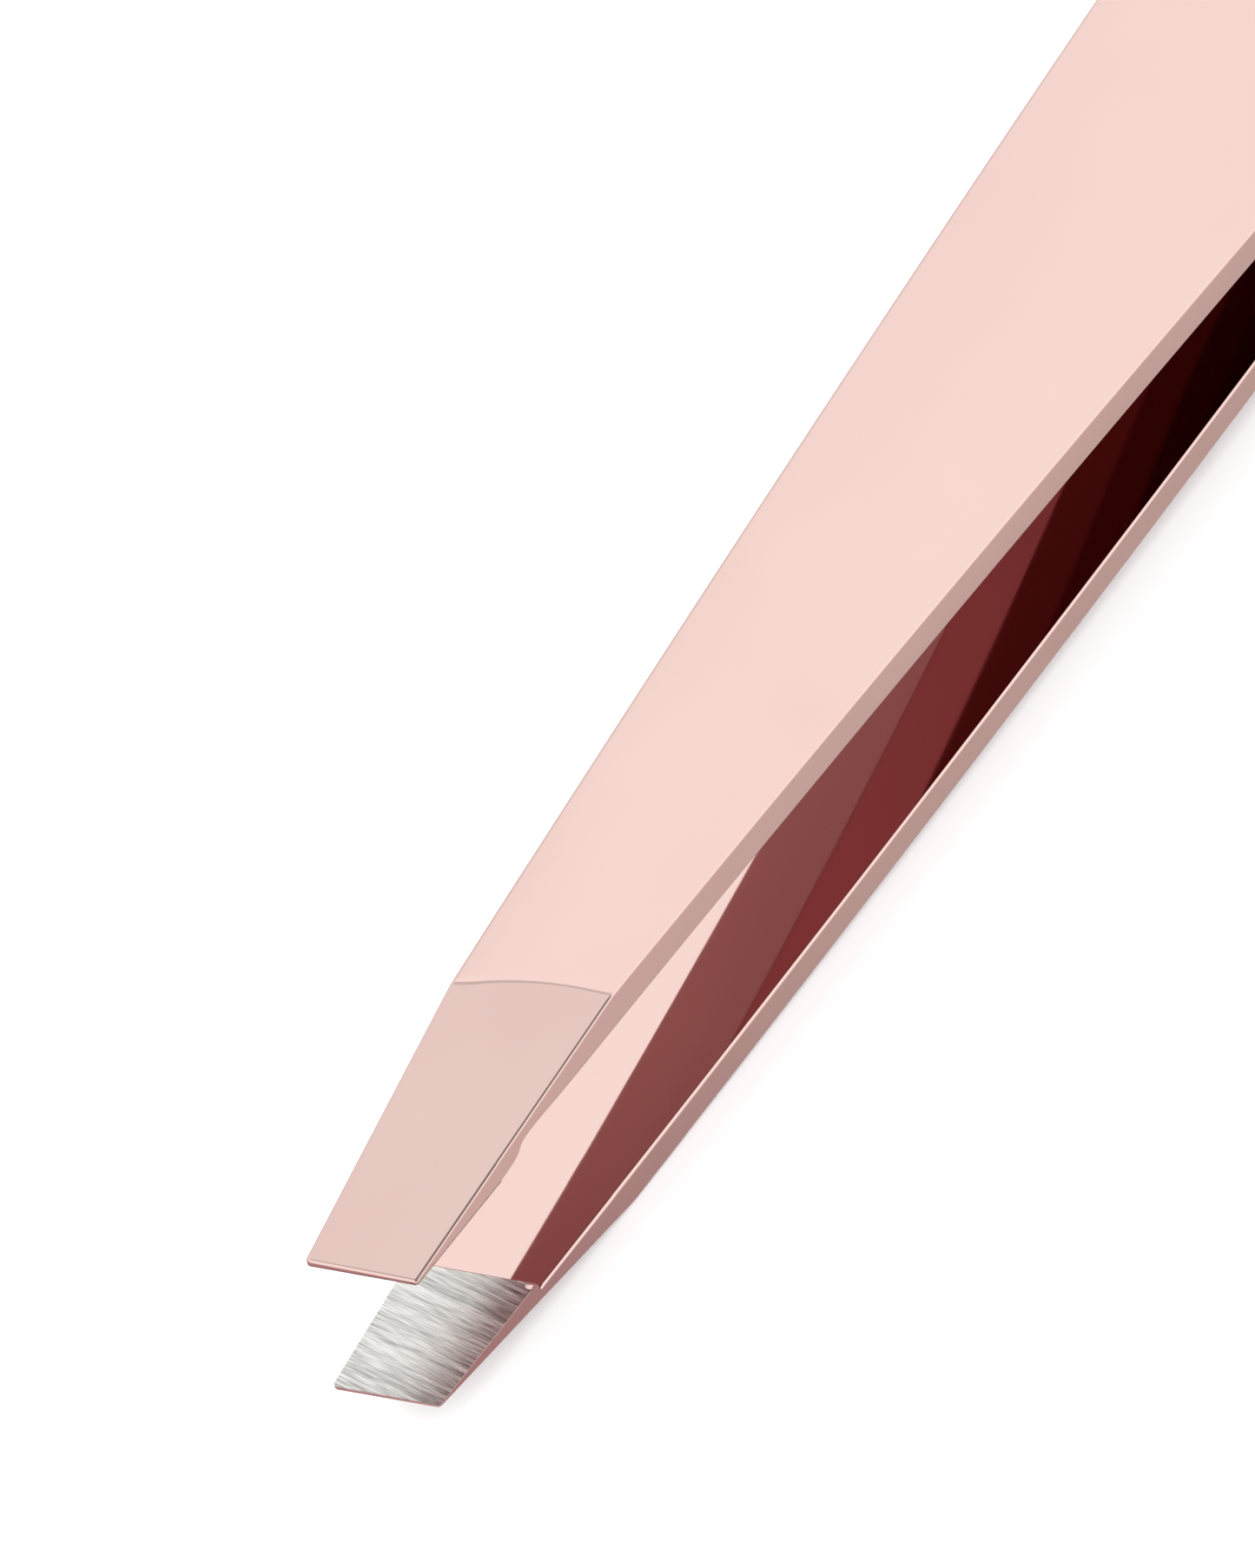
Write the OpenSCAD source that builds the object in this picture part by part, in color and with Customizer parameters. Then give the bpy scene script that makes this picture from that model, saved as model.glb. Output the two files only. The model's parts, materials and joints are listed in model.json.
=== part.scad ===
// Slant tweezers: two sprung strips, welded together at the heel.
// X runs from the tip to the heel, Y is across the strips, Z is the direction in which the arms close.
// The origin is at the middle of the length, on the plane midway between the arms.
// Inside the modules, x is a station measured from the long corner of the tip.

/* [Whole tool] */
// Length from the long corner of the tip, before it is rounded, to the end of the heel
length = 95; // [90:1:110]
// Distance over the outer faces where they are furthest apart
spread = 11.26; // [10.6:0.01:12]

/* [Outline of the strips] */
// Width of the strip across the tip, at the long corner
tip_width = 2.89; // [2.6:0.01:3.4]
// Slant of the tip edge, in degrees
slant = 18.4; // [12:0.1:25]
// How much each side widens per millimetre, from the tip backwards
front_taper = 0.0647; // [0.055:0.0001:0.075]
// How much each side narrows per millimetre, towards the heel
rear_taper = 0.062; // [0.05:0.001:0.07]
// Width of the strip at the heel
heel_width = 5.1; // [4.6:0.1:6]
// Radius of the outline at the widest point
waist_radius = 70; // [40:1:90]
// Radius of the heel's corners
heel_radius = 2.4; // [1:0.1:2.4]
// Radius of the tip's corners
tip_radius = 0.12; // [0.08:0.01:0.4]

/* [Side profile] */
// Thickness of the strip in its front half
strip_thickness = 1.62; // [1.5:0.01:1.7]
// Thickness of the strip at the weld, where it is ground thinner to act as a spring
root_thickness = 0.95; // [0.8:0.01:1.1]
// Station where the outer face of the arm bends towards the tip, on the centre line
bend_x = 9.24; // [9:0.01:9.6]
// Slope of the outer face just behind the bend
bend_slope = 0.009; // [0:0.001:0.02]
// Radius of the long bow of the arms
bow_radius = 658; // [640:1:700]
// Number of flats along the bow
bow_flats = 7; // [5:1:30]
// Slope of the arms where they leave the weld
root_slope = 0.095; // [0.09:0.001:0.1]
// Station where the strip starts to get thinner towards the heel
thin_from = 46; // [44:1:50]
// Station where it has reached its thickness at the weld
thin_to = 69; // [64:1:70]

/* [Tip] */
// Distance from the mid-plane to the gripping face with the arms relaxed
pad_height = 3.42; // [3.3:0.01:3.6]
// Thickness of the tip edge at the long corner
tip_edge = 0.25; // [0.2:0.01:0.35]
// Length of the gripping land, square to the tip edge
pad_length = 4.32; // [3.5:0.01:5]
// How much the land stands proud of the inner face behind it
pad_step = 0.58; // [0.4:0.01:0.65]
// Thickness of the land's own metal at the tip edge
pad_edge = 0.08; // [0.05:0.01:0.12]
// Angle of the ground outer facet to the gripping face, in degrees
facet_angle = 13.65; // [13.4:0.05:13.9]
// How much the facet also leans down towards the short corner, in degrees
facet_lean = 1.65; // [1:0.05:2]

/* [Spring and weld] */
// Station of the point that the arms turn about as they bend
pivot_x = 71; // [70.5:0.5:74]
// Clearance round the knuckle that stands in for the bending
knuckle_gap = 0.02; // [0.01:0.01:0.04]
// Diameter of a weld nugget
nugget_d = 2.2; // [1.6:0.1:2.6]
// Thickness of a weld nugget
nugget_thickness = 0.9; // [0.6:0.05:1.1]
// Distance between the weld nuggets
nugget_pitch = 4.2; // [3.6:0.1:4.4]
// Distance from the end of the heel to the nearest nugget
nugget_inset = 3.2; // [2.8:0.1:3.6]

/* [Hidden] */
$fn = 64;

PLATING = [0.93, 0.68, 0.63];
BARE_STEEL = [0.72, 0.71, 0.69];

bend_z = spread / 2;
bow_end_x = bend_x + bow_radius * (root_slope - bend_slope);
bow_end_z = bow_z(bow_end_x);
root_x = bow_end_x + (bow_end_z - root_thickness) / root_slope;
arc_steps = 10;
side_reach = 8;
tall = 20;

// Outline: half widths of the two straight tapers, and where they cross
tip_half = tip_width / 2;
heel_half = heel_width / 2;
wide_x = (heel_half + rear_taper * length - tip_half) / (front_taper + rear_taper);
wide_half = tip_half + front_taper * wide_x;
short_corner_x = 2 * tip_half * tan(slant) / (1 - front_taper * tan(slant));
short_corner_half = tip_half + front_taper * short_corner_x;

// Height of the outer face behind the bend, on the long bow
function bow_z(x) = bend_z - bend_slope * (x - bend_x) - pow(x - bend_x, 2) / (2 * bow_radius);

// Height of the outer face at a station behind the bend
function outer_z(x) = x < bow_end_x ? bow_z(x)
    : x < root_x ? bow_end_z - root_slope * (x - bow_end_x)
    : root_thickness;

// Thickness of the strip at a station
function thickness(x) = x < thin_from ? strip_thickness
    : x > thin_to ? root_thickness
    : strip_thickness + (root_thickness - strip_thickness) * (x - thin_from) / (thin_to - thin_from);

// Height of the inner face: flat over the ground stretch ahead of the bend
inner_flat_z = pad_height + pad_step;
function inner_z(x) = min(inner_flat_z, lookup(x, outer_points) - thickness(x));

// Points of an arc of radius r that rounds corner b between a and c
function unit(v) = v / norm(v);
function rounded(a, b, c, r, steps) =
    let (u = unit(a - b), v = unit(c - b), half = acos(u * v) / 2)
    let (centre = b + unit(u + v) * r / sin(half), reach = r / tan(half))
    let (from = b + u * reach - centre, to = b + v * reach - centre)
    let (turn = 180 - 2 * half, side = sign(from[0] * to[1] - from[1] * to[0]))
    [for (i = [0:steps]) let (t = side * turn * i / steps)
        centre + [from[0] * cos(t) - from[1] * sin(t), from[0] * sin(t) + from[1] * cos(t)]];

outline_corners = [[0, tip_half], [wide_x, wide_half], [length, heel_half],
                   [length, -heel_half], [wide_x, -wide_half], [short_corner_x, -short_corner_half]];
outline_radii = [tip_radius, waist_radius, heel_radius, heel_radius, waist_radius, tip_radius];
outline_count = len(outline_corners);
outline = [for (i = [0:outline_count - 1])
    each rounded(outline_corners[(i + outline_count - 1) % outline_count], outline_corners[i],
                 outline_corners[(i + 1) % outline_count], outline_radii[i], arc_steps)];

// Side profile: the bow is ground in long flats, so that the tool lies still on one of them
overrun = 1;
flat_length = (root_x - bend_x) / bow_flats;
outer_stations = [-overrun, for (i = [0:bow_flats]) bend_x + i * flat_length, length + overrun];
outer_points = [for (x = outer_stations) [x, outer_z(x)]];
inner_stations = [for (x = outer_stations) if (x < thin_from) x,
                  thin_from,
                  for (x = outer_stations) if (x > thin_from && x < thin_to) x,
                  thin_to,
                  for (x = outer_stations) if (x > thin_to) x];
last = len(inner_stations) - 1;
inner_points = [for (i = [last:-1:0]) [inner_stations[i], max(0, inner_z(inner_stations[i]))]];
profile = concat(outer_points, inner_points);

// Pivot of the upper arm: the middle of the strip at pivot_x
pivot_z = lookup(pivot_x, outer_points) - thickness(pivot_x) / 2;
pivot_tilt = atan(root_slope);
knuckle_r = thickness(pivot_x) / 2 * cos(pivot_tilt) - knuckle_gap;

// Station of the middle of the whole length, after the tip's corner is rounded
middle_x = (length + min([for (point = outline) point[0]])) / 2;

// Puts a shape that is drawn in tip stations into the tool's own frame
module placed() {
    translate([-middle_x, 0, 0]) children();
}

// Puts a shape drawn square to the tip edge (x back from the edge, y along it) in place
module along_tip_edge() {
    translate([0, tip_half, 0]) rotate([0, 0, slant]) children();
}

// A side profile in x and z, given its width across the strip
module across_strip() {
    translate([0, side_reach, 0]) rotate([90, 0, 0]) linear_extrude(2 * side_reach) children();
}

// The whole upper strip before its tip is ground
module strip_blank() {
    intersection() {
        across_strip() polygon(profile);
        linear_extrude(tall) polygon(outline);
    }
}

// Everything outside the ground facet of the tip
module facet_waste() {
    facet_foot = pad_height + tip_edge;
    along_tip_edge() translate([0, 0, facet_foot]) rotate([facet_lean, -facet_angle, 0])
        translate([-tall, -tall, 0]) cube([2 * tall, 2 * tall, tall]);
}

// The gripping land: flat inside, with a sloping root that follows the facet
module land() {
    intersection() {
        linear_extrude(tall) polygon(outline);
        along_tip_edge() translate([0, side_reach, 0]) rotate([90, 0, 0])
            linear_extrude(4 * side_reach) polygon([
                [-1, pad_height],
                [pad_length, pad_height],
                [pad_length, pad_height + pad_step],
                [0, pad_height + pad_edge],
                [-1, pad_height + pad_edge]]);
    }
}

// What the land's root takes out of the strip ahead of the neck
module land_seat() {
    along_tip_edge() translate([0, side_reach, 0]) rotate([90, 0, 0])
        linear_extrude(4 * side_reach) polygon([
            [-2, 0],
            [pad_length, 0],
            [pad_length, pad_height + pad_step],
            [0, pad_height + pad_edge],
            [-2, pad_height + pad_edge]]);
}

// Everything behind a plane square to the strip at the pivot, moved back by a gap
module behind_pivot(gap) {
    translate([pivot_x, 0, pivot_z]) rotate([0, pivot_tilt, 0])
        translate([gap, -side_reach, -side_reach])
            cube([length, 2 * side_reach, 2 * side_reach]);
}

// The knuckle on the pivot
module knuckle(r) {
    translate([pivot_x, 0, pivot_z]) rotate([90, 0, 0])
        cylinder(r = r, h = 2 * side_reach, center = true);
}

// The knuckle kept inside the strip's outline
module trimmed_knuckle() {
    intersection() {
        knuckle(knuckle_r);
        linear_extrude(tall) polygon(outline);
    }
}

// One free arm, above the mid-plane
module arm() {
    union() {
        difference() {
            strip_blank();
            behind_pivot(0);
            facet_waste();
            land_seat();
        }
        trimmed_knuckle();
    }
}

// The two weld nuggets, grown by a gap all round
module nuggets() {
    for (i = [0:1])
        translate([length - nugget_inset - i * nugget_pitch, 0, 0])
            cylinder(d = nugget_d, h = nugget_thickness, center = true);
}

// One welded heel, above the mid-plane
module heel() {
    difference() {
        intersection() {
            strip_blank();
            behind_pivot(knuckle_gap);
        }
        knuckle(knuckle_r + knuckle_gap);
        nuggets();
    }
}

module upper_heel() {
    color(PLATING) placed() heel();
}

module lower_heel() {
    color(PLATING) placed() mirror([0, 0, 1]) heel();
}

module weld_nuggets() {
    color(BARE_STEEL) placed() nuggets();
}

module upper_arm() {
    color(PLATING) placed() arm();
}

module lower_arm() {
    color(PLATING) placed() mirror([0, 0, 1]) arm();
}

module upper_tip_pad() {
    color(BARE_STEEL) placed() land();
}

module lower_tip_pad() {
    color(BARE_STEEL) placed() mirror([0, 0, 1]) land();
}

upper_heel();
lower_heel();
weld_nuggets();
upper_arm();
lower_arm();
upper_tip_pad();
lower_tip_pad();
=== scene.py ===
"""Looks of a pair of slant tweezers.

Each arm is one unbroken steel strip that runs from the welded heel to the slanted tip. It is built as a
bmesh: an outline is rounded at its corners, extruded, rounded along its rims, sliced, and lifted to its
side profile, with the ground facet and the step behind the land. A thin bare land lies inside each tip.
The studio is a level pale floor under a wide, bright dome.

Shapes are worked out in millimetres, with x as the station behind the long corner of the tip, and are
placed in the frame in metres at the end.
"""

import json
import logging
import math
from dataclasses import dataclass
from enum import Enum

import bmesh
import bpy
from mathutils import Euler, Matrix, Vector


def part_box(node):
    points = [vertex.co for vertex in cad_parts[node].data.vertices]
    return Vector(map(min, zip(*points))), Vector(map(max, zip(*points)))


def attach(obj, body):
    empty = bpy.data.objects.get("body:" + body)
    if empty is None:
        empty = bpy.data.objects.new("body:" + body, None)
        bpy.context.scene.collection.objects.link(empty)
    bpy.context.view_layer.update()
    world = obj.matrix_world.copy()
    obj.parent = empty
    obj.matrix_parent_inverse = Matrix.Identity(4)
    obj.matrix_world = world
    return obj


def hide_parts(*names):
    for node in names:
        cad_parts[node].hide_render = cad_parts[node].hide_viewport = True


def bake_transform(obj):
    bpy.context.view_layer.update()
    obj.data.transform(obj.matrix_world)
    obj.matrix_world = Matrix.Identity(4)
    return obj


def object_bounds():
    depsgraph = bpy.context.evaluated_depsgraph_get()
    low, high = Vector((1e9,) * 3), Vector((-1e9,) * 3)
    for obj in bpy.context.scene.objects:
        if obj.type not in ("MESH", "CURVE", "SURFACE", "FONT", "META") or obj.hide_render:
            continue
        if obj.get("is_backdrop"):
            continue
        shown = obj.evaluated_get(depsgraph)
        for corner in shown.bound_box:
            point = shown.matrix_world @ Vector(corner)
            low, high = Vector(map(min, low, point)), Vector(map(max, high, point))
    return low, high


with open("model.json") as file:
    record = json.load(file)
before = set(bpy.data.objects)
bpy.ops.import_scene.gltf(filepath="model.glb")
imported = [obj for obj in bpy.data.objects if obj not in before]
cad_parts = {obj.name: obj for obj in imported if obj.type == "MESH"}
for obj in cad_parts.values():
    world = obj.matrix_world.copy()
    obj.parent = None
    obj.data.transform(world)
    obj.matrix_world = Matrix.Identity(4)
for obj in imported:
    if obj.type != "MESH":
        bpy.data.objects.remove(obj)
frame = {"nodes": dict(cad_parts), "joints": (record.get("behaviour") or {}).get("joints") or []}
CAD_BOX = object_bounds()

LOG = logging.getLogger("tweezers")
MM = 0.001
FULL_LENGTH = 95.0
HEEL_THICKNESS = 0.95
BOX_CLEARANCE = 0.002
BARE_PROUD = 0.02
BARE_INSET = 0.055
# painted shade: share of light kept at each further bounce between the arms, in the dome and the mirrored
# floor
PAINTED_SHADE_PER_BOUNCE = (0.48, 0.305, 0.345)


class Side(Enum):
    """The two arms: which way each lies from the mid-plane."""

    UPPER = 1
    LOWER = -1

    @property
    def word(self) -> str:
        """The arm's name as nodes and bodies spell it."""
        return self.name.lower()


class Zone(Enum):
    """The finishes that one strip carries, in the order of its material slots."""

    POLISHED = 0
    FACET = 1


# ------------------------------------------------------------------------------------------------
# Shape of the strips


@dataclass(frozen=True)
class StripShape:
    """Sizes of one strip, in millimetres, and the curves that follow from them.

    The sizes that the frame gives are read from it, so that the strips stay inside the CAD model.
    """

    length: float
    spread_half: float
    heel_thickness: float
    pad_height: float
    middle_x: float
    pivot_x: float
    thickness: float = 1.62
    tip_half: float = 1.445
    front_taper: float = 0.0647
    heel_half: float = 2.55
    rear_taper: float = 0.062
    slant: float = math.radians(18.4)
    waist_radius: float = 70.0
    heel_radius: float = 2.4
    tip_radius: float = 0.12
    bend_x: float = 9.24
    bend_slope: float = 0.009
    bow_radius: float = 658.0
    root_slope: float = 0.095
    thin_from: float = 46.0
    thin_to: float = 69.0
    heel_blend: float = 0.05
    crown: float = 0.06
    crown_fades: tuple[float, float] = (15.0, 9.0)
    tip_edge: float = 0.25
    facet_angle: float = math.radians(13.65)
    facet_lean: float = math.radians(1.65)
    neck_height: float = 4.0
    edge_round: float = 0.115
    land_edge_round: float = 0.05
    land_length: float = 4.6
    crease_blend: float = 0.02
    crease_reach: float = 4.0

    @classmethod
    def from_frame(cls) -> "StripShape":
        """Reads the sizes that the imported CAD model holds.

        Returns:
            The shape of one strip, whose overall sizes match the frame.
        """
        _, high = CAD_BOX
        pad_low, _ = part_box("upper_tip_pad")
        hinge = frame["joints"][0]["pos_m"]
        middle_x = FULL_LENGTH - high.x / MM
        return cls(
            length=FULL_LENGTH,
            spread_half=high.z / MM - BOX_CLEARANCE,
            heel_thickness=HEEL_THICKNESS,
            pad_height=pad_low.z / MM,
            middle_x=middle_x,
            pivot_x=hinge[0] / MM + middle_x,
        )

    @property
    def bow_end_x(self) -> float:
        """Station where the long bow runs into the straight root."""
        return self.bend_x + self.bow_radius * (self.root_slope - self.bend_slope)

    @property
    def root_x(self) -> float:
        """Station where the two strips meet in the weld."""
        return self.bow_end_x + (self.bow(self.bow_end_x) - self.heel_thickness) / self.root_slope

    @property
    def widest_x(self) -> float:
        """Station where the front and rear tapers would cross."""
        rise = self.heel_half + self.rear_taper * self.length - self.tip_half
        return rise / (self.front_taper + self.rear_taper)

    @property
    def short_corner(self) -> tuple[float, float]:
        """The tip's short corner, as a station and a place across the strip.

        Returns:
            The station and the place across, in millimetres.
        """
        lean = math.tan(self.slant)
        x = 2 * self.tip_half * lean / (1 - self.front_taper * lean)
        return x, -(self.tip_half + self.front_taper * x)

    def bow(self, x: float) -> float:
        """Height of the outer face on the long bow at station x."""
        behind = x - self.bend_x
        return self.spread_half - self.bend_slope * behind - behind * behind / (2 * self.bow_radius)

    def outer(self, x: float) -> float:
        """Height of the outer face's middle line at station x.

        Args:
            x: Station, in millimetres.

        Returns:
            The height, in millimetres.
        """
        if x < self.bow_end_x:
            return self.bow(x)
        straight = self.bow(self.bow_end_x) - self.root_slope * (x - self.bow_end_x)
        return smooth_max(straight, self.heel_thickness, self.heel_blend)

    def strip_thickness(self, x: float) -> float:
        """Thickness of the strip at station x."""
        share = min(1.0, max(0.0, (x - self.thin_from) / (self.thin_to - self.thin_from)))
        return self.thickness + (self.heel_thickness - self.thickness) * share

    def straight_half(self, x: float) -> float:
        """Half the width at station x, with a sharp waist.

        Args:
            x: Station, in millimetres.

        Returns:
            The half width, in millimetres.
        """
        front = self.tip_half + self.front_taper * x
        rear = self.heel_half + self.rear_taper * (self.length - x)
        return min(front, rear)

    def half_width(self, x: float) -> float:
        """Half the width at station x, with the waist rounded to an arc.

        Args:
            x: Station, in millimetres.

        Returns:
            The half width, in millimetres.
        """
        lean = math.atan(self.front_taper)
        turn = lean + math.atan(self.rear_taper)
        reach = self.waist_radius * math.tan(turn / 2)
        starts = self.widest_x - reach * math.cos(lean)
        ends = self.widest_x + reach * math.cos(turn - lean)
        if x <= starts or x >= ends:
            return self.straight_half(x)
        middle = starts + self.waist_radius * math.sin(lean)
        centre = self.straight_half(starts) - self.waist_radius * math.cos(lean)
        return centre + math.sqrt(self.waist_radius ** 2 - (x - middle) ** 2)

    @property
    def behind(self) -> Vector:
        """Direction straight back from the slanted tip edge."""
        return Vector((math.cos(self.slant), math.sin(self.slant), 0.0))

    @property
    def long_corner(self) -> Vector:
        """The tip's long corner before it is rounded, at no height."""
        return Vector((0.0, self.tip_half, 0.0))

    @property
    def facet_plane(self) -> tuple[Vector, Vector]:
        """A point on the ground facet and the direction that it faces.

        Returns:
            The point, in millimetres, and the unit normal.
        """
        foot = self.long_corner + Vector((0.0, 0.0, self.pad_height + self.tip_edge))
        turn = Matrix.Rotation(self.slant, 3, "Z") @ Matrix.Rotation(-self.facet_angle, 3, "Y")
        turn @= Matrix.Rotation(self.facet_lean, 3, "X")
        return foot, turn @ Vector((0.0, 0.0, 1.0))

    def facet(self, x: float, y: float) -> float:
        """Height of the ground facet's plane at a point."""
        foot, normal = self.facet_plane
        return foot.z - (normal.x * (x - foot.x) + normal.y * (y - foot.y)) / normal.z

    def crowned(self, x: float, y: float) -> float:
        """Height of the slightly crowned outer face at a point, as if the tip were not ground.

        Args:
            x: Station, in millimetres.
            y: Place across the strip, in millimetres.

        Returns:
            The height, in millimetres.
        """
        share = y / self.half_width(x)
        starts, ends = (self.length - before for before in self.crown_fades)
        fade = 1 - smooth_step(x, starts, ends)
        return self.outer(x) - self.crown * share * share * fade

    def top(self, x: float, y: float) -> float:
        """Height of the outside at a point, with a soft crease where the facet starts.

        Args:
            x: Station, in millimetres.
            y: Place across the strip, in millimetres.

        Returns:
            The height, in millimetres.
        """
        if x > self.bend_x + self.crease_reach:
            return self.crowned(x, y)
        return smooth_min(self.crowned(x, y), self.facet(x, y), self.crease_blend)

    def behind_edge(self, x: float, y: float) -> float:
        """Distance of a point behind the slanted tip edge, square to it."""
        return x * math.cos(self.slant) + (y - self.tip_half) * math.sin(self.slant)


def smooth_max(a: float, b: float, blend: float) -> float:
    """The larger of two values, with the corner between them eased over a distance."""
    return (a + b + math.sqrt((a - b) ** 2 + blend * blend)) / 2 - blend / 2


def smooth_min(a: float, b: float, blend: float) -> float:
    """The smaller of two values, with the corner between them eased over a distance."""
    return -smooth_max(-a, -b, blend)


def smooth_step(value: float, low: float, high: float) -> float:
    """Zero below low, one above high, and an even curve between."""
    t = min(1.0, max(0.0, (value - low) / (high - low)))
    return t * t * (3 - 2 * t)


@dataclass(frozen=True)
class LandStep:
    """How the gripping land falls away to the neck, in millimetres.

    The profile pairs a distance behind the tip edge with a depth below the land. The lip is a small curl
    of metal that the grinding left at the land's rear corner.
    """

    profile: tuple[tuple[float, float], ...]
    bare_to: float
    lip_height: float = 0.0
    lip_at: float = 4.15
    lip_reach: float = 0.13
    lip_width: float = 0.30

    def depth(self, behind: float) -> float:
        """Depth below the land at a distance behind the tip edge, as a smooth curve.

        Args:
            behind: Distance behind the tip edge, in millimetres.

        Returns:
            The depth, in millimetres.
        """
        knots = self.profile
        if behind <= knots[0][0]:
            return knots[0][1]
        for index in range(len(knots) - 1):
            (x0, d0), (x1, d1) = knots[index], knots[index + 1]
            if behind <= x1:
                before, after = knots[max(0, index - 1)], knots[min(len(knots) - 1, index + 2)]
                span = x1 - x0
                rise0 = (d1 - before[1]) / (x1 - before[0]) * span
                rise1 = (after[1] - d0) / (after[0] - x0) * span
                t = (behind - x0) / span
                return (d0 * (1 + 2 * t) * (1 - t) ** 2 + rise0 * t * (1 - t) ** 2
                        + d1 * t * t * (3 - 2 * t) - rise1 * t * t * (1 - t))
        return knots[-1][1]

    def lip(self, behind: float, from_side: float) -> float:
        """Height of the curl at a distance behind the tip edge and from the strip's near side.

        Args:
            behind: Distance behind the tip edge, in millimetres.
            from_side: Distance from the strip's near side, in millimetres.

        Returns:
            The height, in millimetres.
        """
        away = abs(behind - self.lip_at) / self.lip_reach
        if away >= 1 or from_side >= self.lip_width:
            return 0.0
        return self.lip_height * (1 - away * away) ** 2 * (1 - smooth_step(from_side, 0.0, self.lip_width))


LAND_STEPS = {
    Side.UPPER: LandStep(
        profile=((3.45, 0.0), (3.65, 0.01), (4.03, 0.10), (4.24, 0.21), (4.34, 0.32), (4.42, 0.47),
                 (4.51, 0.57), (4.65, 0.62), (4.95, 0.64), (5.4, 0.63), (6.0, 0.59), (6.8, 0.565),
                 (7.4, 0.56)),
        bare_to=3.55,
    ),
    Side.LOWER: LandStep(
        profile=((4.24, 0.0), (4.28, 0.02), (4.33, 0.11), (4.37, 0.34), (4.41, 0.50), (4.45, 0.555),
                 (4.49, 0.56), (4.6, 0.56)),
        bare_to=4.25,
        lip_height=0.15,
    ),
}


# ------------------------------------------------------------------------------------------------
# Finishes


class NodeBuilder:
    """Adds and links shader nodes in one material or world."""

    def __init__(self, tree: bpy.types.NodeTree) -> None:
        """Empties a node tree and keeps it to build in."""
        self.tree = tree
        tree.nodes.clear()

    def add(self, kind: str, **settings: object) -> bpy.types.Node:
        """Adds one node.

        Args:
            kind: The node's type, such as ShaderNodeTexNoise.
            **settings: Properties of the node by name.

        Returns:
            The new node.
        """
        node = self.tree.nodes.new(kind)
        for name, value in settings.items():
            setattr(node, name, value)
        return node

    def link(self, source: bpy.types.NodeSocket, target: bpy.types.NodeSocket) -> None:
        """Links one socket to another."""
        self.tree.links.new(source, target)

    def noise(self, period: float, detail: float, longer: tuple[float, float, float] = (1.0, 1.0, 1.0),
              lean: float = 0.0) -> bpy.types.NodeSocket:
        """Noise on Object coordinates, drawn out along leaning axes.

        Args:
            period: Size of the noise's cells, in millimetres.
            detail: Octaves of finer noise.
            longer: How many times longer the cells are along each axis.
            lean: Turn of those axes about Z, in radians.

        Returns:
            The noise value's socket.
        """
        place = self.add("ShaderNodeTexCoord")
        mapping = self.add("ShaderNodeMapping", vector_type="TEXTURE")
        mapping.inputs["Scale"].default_value = longer
        mapping.inputs["Rotation"].default_value = (0.0, 0.0, lean)
        texture = self.add("ShaderNodeTexNoise")
        texture.inputs["Scale"].default_value = 1.0 / (period * MM)
        texture.inputs["Detail"].default_value = detail
        self.link(place.outputs["Object"], mapping.inputs["Vector"])
        self.link(mapping.outputs["Vector"], texture.inputs["Vector"])
        return texture.outputs["Fac"]

    def remap(self, source: bpy.types.NodeSocket, low: float, high: float,
              spread: tuple[float, float] = (0.3, 0.7)) -> bpy.types.NodeSocket:
        """Maps a noise value from its usual spread to a new range.

        Args:
            source: The value to map.
            low: What the lower end becomes.
            high: What the upper end becomes.
            spread: The ends of the range that is read.

        Returns:
            The mapped value's socket.
        """
        ranged = self.add("ShaderNodeMapRange")
        ranged.inputs["From Min"].default_value = spread[0]
        ranged.inputs["From Max"].default_value = spread[1]
        ranged.inputs["To Min"].default_value = low
        ranged.inputs["To Max"].default_value = high
        self.link(source, ranged.inputs["Value"])
        return ranged.outputs["Result"]

    def blend_values(self, first: bpy.types.NodeSocket, second: bpy.types.NodeSocket,
                     share: float) -> bpy.types.NodeSocket:
        """A value part of the way from one to another.

        Args:
            first: The value at a share of zero.
            second: The value at a share of one.
            share: How far from the first to the second.

        Returns:
            The blended value's socket.
        """
        mix = self.add("ShaderNodeMix", data_type="FLOAT")
        mix.inputs["Factor"].default_value = share
        self.link(first, mix.inputs["A"])
        self.link(second, mix.inputs["B"])
        return mix.outputs["Result"]

    def tint(self, share: bpy.types.NodeSocket, first: tuple[float, float, float],
             second: tuple[float, float, float]) -> bpy.types.NodeSocket:
        """A colour between two, by a share.

        Args:
            share: The socket that says how far from the first to the second.
            first: The colour at zero.
            second: The colour at one.

        Returns:
            The colour's socket.
        """
        mix = self.add("ShaderNodeMix", data_type="RGBA")
        mix.inputs["A"].default_value = (*first, 1.0)
        mix.inputs["B"].default_value = (*second, 1.0)
        self.link(share, mix.inputs["Factor"])
        return mix.outputs["Result"]

    def bump(self, height: bpy.types.NodeSocket, distance: float,
             under: bpy.types.NodeSocket | None = None) -> bpy.types.NodeSocket:
        """Bump from a height of zero to one, a given distance deep.

        Args:
            height: The socket of the height.
            distance: Depth of the relief, in metres.
            under: The normal of a relief under this one.

        Returns:
            The normal's socket.
        """
        bump = self.add("ShaderNodeBump")
        bump.inputs["Strength"].default_value = 1.0
        bump.inputs["Distance"].default_value = distance
        self.link(height, bump.inputs["Height"])
        if under is not None:
            self.link(under, bump.inputs["Normal"])
        return bump.outputs["Normal"]


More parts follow.
